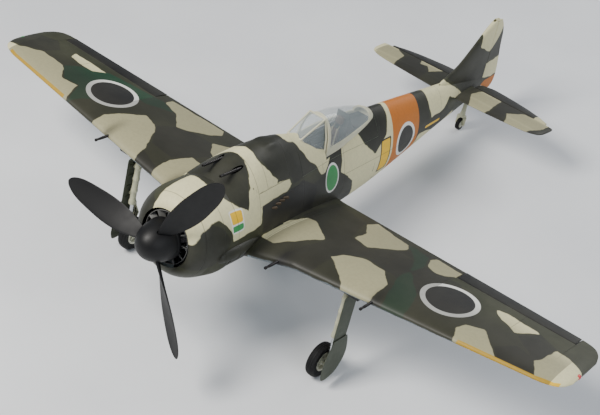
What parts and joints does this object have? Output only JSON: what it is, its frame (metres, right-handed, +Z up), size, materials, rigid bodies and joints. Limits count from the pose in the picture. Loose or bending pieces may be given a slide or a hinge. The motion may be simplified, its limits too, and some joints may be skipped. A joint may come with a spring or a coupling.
{
  "type": "rc warbird plane",
  "caption": "Foam electric model of a low-wing radial fighter with folding gear, control surfaces and lift-off canopy hatch.",
  "frame": {"origin": "on the floor under the middle of the model's overall box, in its three-wheel stance", "axes": "+X to the model's left wing tip, +Y towards its tail, +Z up"},
  "size_m": [1.129, 0.9619, 0.3849],
  "materials": {
    "foam_paint": "matt camouflage paint on moulded foam",
    "cowl_paint": "satin painted thin plastic",
    "black_plastic": "matt moulded nylon",
    "engine_black": "moulded plastic with grey fins",
    "gear_paint": "grey-green satin paint",
    "bright_metal": "turned steel",
    "motor_paint": "anodised",
    "carbon": "pultruded carbon tube",
    "plywood": "light plywood",
    "battery_wrap": "shrink wrap",
    "circuit_wrap": "heat-shrink sleeve",
    "servo_case": "moulded case",
    "horn_plastic": "moulded nylon",
    "glazing": "clear thin sheet",
    "frame_paint": "cream paint",
    "cockpit_grey": "matt dark grey",
    "seat_leather": "dark padded",
    "tyre": "soft foam rubber",
    "rim": "pale satin",
    "lens": "clear coloured"
  },
  "bodies": {
    "airframe": {"fuselage": "foam_paint", "cowl": "cowl_paint", "dummy_engine": "engine_black", "firewall": "plywood", "motor_base": "motor_paint", "battery": "battery_wrap", "speed_controller": "circuit_wrap", "battery_tray": "plywood", "receiver": "circuit_wrap", "tail_servos": "servo_case", "aileron_servos": "servo_case", "stabiliser": "foam_paint", "wing_left": "foam_paint", "wing_right": "foam_paint", "spar_tube": "carbon", "screws": "bright_metal", "wing_cannons": "black_plastic", "cowl_guns": "black_plastic", "nav_lights": "lens", "retract_units": "gear_paint"},
    "rotor": {"spinner": "black_plastic", "spinner_backplate": "black_plastic", "propeller": "black_plastic", "cooling_fan": "black_plastic", "prop_shaft": "bright_metal", "motor_can": "motor_paint", "prop_nut": "bright_metal"},
    "hatch": {"hatch_deck": "foam_paint", "cockpit_tub": "cockpit_grey", "pilot_seat": "seat_leather", "windscreen": "glazing", "canopy_hood": "glazing", "canopy_frame": "frame_paint"},
    "elevator": {"elevators": "foam_paint", "elevator_horn": "horn_plastic"},
    "rudder": {"rudder": "foam_paint", "rudder_horn": "horn_plastic"},
    "tail_leg": {"tail_fork": "gear_paint"},
    "tail_wheel": {"tail_hub": "rim", "tail_tyre": "tyre"},
    "aileron_left": {"aileron_left": "foam_paint"},
    "aileron_right": {"aileron_right": "foam_paint"},
    "gear_left": {"leg_left": "gear_paint", "gear_doors_left": "gear_paint"},
    "gear_right": {"leg_right": "gear_paint", "gear_doors_right": "gear_paint"},
    "wheel_left": {"wheel_hub_left": "rim", "tyre_left": "tyre"},
    "wheel_right": {"wheel_hub_right": "rim", "tyre_right": "tyre"},
    "elevator_arm": {"elevator_servo_arm": "horn_plastic"},
    "rudder_arm": {"rudder_servo_arm": "horn_plastic"},
    "elevator_rod": {"elevator_pushrod": "bright_metal"},
    "rudder_rod": {"rudder_pushrod": "bright_metal"},
    "aileron_arm_left": {"aileron_servo_arm_left": "horn_plastic"},
    "aileron_arm_right": {"aileron_servo_arm_right": "horn_plastic"},
    "aileron_rod_left": {"aileron_pushrod_left": "bright_metal"},
    "aileron_rod_right": {"aileron_pushrod_right": "bright_metal"}
  },
  "joints": [
    {"name": "propeller_spin", "type": "hinge", "parent": "airframe", "child": "rotor", "pos_m": [0, -0.47, 0.24464], "axis": [0, 0.9772, -0.2123], "continuous": true},
    {"name": "hatch_lift", "type": "slide", "parent": "airframe", "child": "hatch", "axis": [0, 0.2123, 0.9772], "range_m": [0, 0.08]},
    {"name": "elevator_tilt", "type": "hinge", "parent": "airframe", "child": "elevator", "pos_m": [0, 0.38148, 0.10364], "axis": [1, 0, 0], "range_deg": [-20, 20]},
    {"name": "rudder_turn", "type": "hinge", "parent": "airframe", "child": "rudder", "pos_m": [0, 0.43004, 0.11049], "axis": [0, 0.2123, 0.9772], "range_deg": [-25, 25]},
    {"name": "tail_wheel_steer", "type": "hinge", "parent": "airframe", "child": "tail_leg", "pos_m": [0, 0.39385, 0.05695], "axis": [0, 0.2123, 0.9772], "range_deg": [-25, 25]},
    {"name": "tail_wheel_roll", "type": "hinge", "parent": "tail_leg", "child": "tail_wheel", "pos_m": [0, 0.38408, 0.012], "axis": [1, 0, 0], "continuous": true},
    {"name": "aileron_left_tilt", "type": "hinge", "parent": "airframe", "child": "aileron_left", "pos_m": [0.314, -0.1206, 0.15972], "axis": [0.9931, -0.0603, 0.1008], "range_deg": [-20, 20]},
    {"name": "aileron_right_tilt", "type": "hinge", "parent": "airframe", "child": "aileron_right", "pos_m": [-0.314, -0.1206, 0.15972], "axis": [0.9931, 0.0603, -0.1008], "range_deg": [-20, 20]},
    {"name": "gear_left_fold", "type": "hinge", "parent": "airframe", "child": "gear_left", "pos_m": [0.214, -0.25578, 0.17558], "axis": [0, 0.9772, -0.2123], "range_deg": [0, 84]},
    {"name": "gear_right_fold", "type": "hinge", "parent": "airframe", "child": "gear_right", "pos_m": [-0.214, -0.25578, 0.17558], "axis": [0, -0.9772, 0.2123], "range_deg": [0, 84]},
    {"name": "wheel_left_roll", "type": "hinge", "parent": "gear_left", "child": "wheel_left", "pos_m": [0.201, -0.28763, 0.029], "axis": [1, 0, 0], "continuous": true},
    {"name": "wheel_right_roll", "type": "hinge", "parent": "gear_right", "child": "wheel_right", "pos_m": [-0.201, -0.28763, 0.029], "axis": [1, 0, 0], "continuous": true},
    {"name": "elevator_arm_turn", "type": "hinge", "parent": "airframe", "child": "elevator_arm", "pos_m": [-0.022, -0.01088, 0.13465], "axis": [0, 0.2123, 0.9772], "range_deg": [-20, 20]},
    {"name": "rudder_arm_turn", "type": "hinge", "parent": "airframe", "child": "rudder_arm", "pos_m": [0.022, -0.01088, 0.13465], "axis": [0, 0.2123, 0.9772], "range_deg": [-25, 25]},
    {"name": "elevator_rod_push", "type": "slide", "parent": "airframe", "child": "elevator_rod", "axis": [-0.0393, 0.9927, -0.1144], "range_m": [-0.006, 0.006]},
    {"name": "rudder_rod_push", "type": "slide", "parent": "airframe", "child": "rudder_rod", "axis": [0.0091, 0.9931, -0.1172], "range_m": [-0.006, 0.006]},
    {"name": "aileron_arm_left_turn", "type": "hinge", "parent": "airframe", "child": "aileron_arm_left", "pos_m": [0.3632, -0.17816, 0.17488], "axis": [1, 0, 0], "range_deg": [-20, 20]},
    {"name": "aileron_arm_right_turn", "type": "hinge", "parent": "airframe", "child": "aileron_arm_right", "pos_m": [-0.3632, -0.17816, 0.17488], "axis": [1, 0, 0], "range_deg": [-20, 20]},
    {"name": "aileron_rod_left_push", "type": "slide", "parent": "airframe", "child": "aileron_rod_left", "axis": [0, 0.9833, -0.182], "range_m": [-0.005, 0.005]},
    {"name": "aileron_rod_right_push", "type": "slide", "parent": "airframe", "child": "aileron_rod_right", "axis": [0, 0.9833, -0.182], "range_m": [-0.005, 0.005]}
  ],
  "couplings": [
    {"joint": "tail_wheel_steer", "follows": "rudder_turn", "ratio": 1},
    {"joint": "aileron_right_tilt", "follows": "aileron_left_tilt", "ratio": -1},
    {"joint": "gear_right_fold", "follows": "gear_left_fold", "ratio": 1},
    {"joint": "elevator_arm_turn", "follows": "elevator_tilt", "ratio": 1},
    {"joint": "elevator_rod_push", "follows": "elevator_tilt", "m_per_rad": 0.013},
    {"joint": "rudder_arm_turn", "follows": "rudder_turn", "ratio": -1},
    {"joint": "rudder_rod_push", "follows": "rudder_turn", "m_per_rad": 0.013},
    {"joint": "aileron_arm_left_turn", "follows": "aileron_left_tilt", "ratio": 1},
    {"joint": "aileron_rod_left_push", "follows": "aileron_left_tilt", "m_per_rad": 0.011},
    {"joint": "aileron_arm_right_turn", "follows": "aileron_left_tilt", "ratio": -1},
    {"joint": "aileron_rod_right_push", "follows": "aileron_left_tilt", "m_per_rad": -0.011}
  ]
}
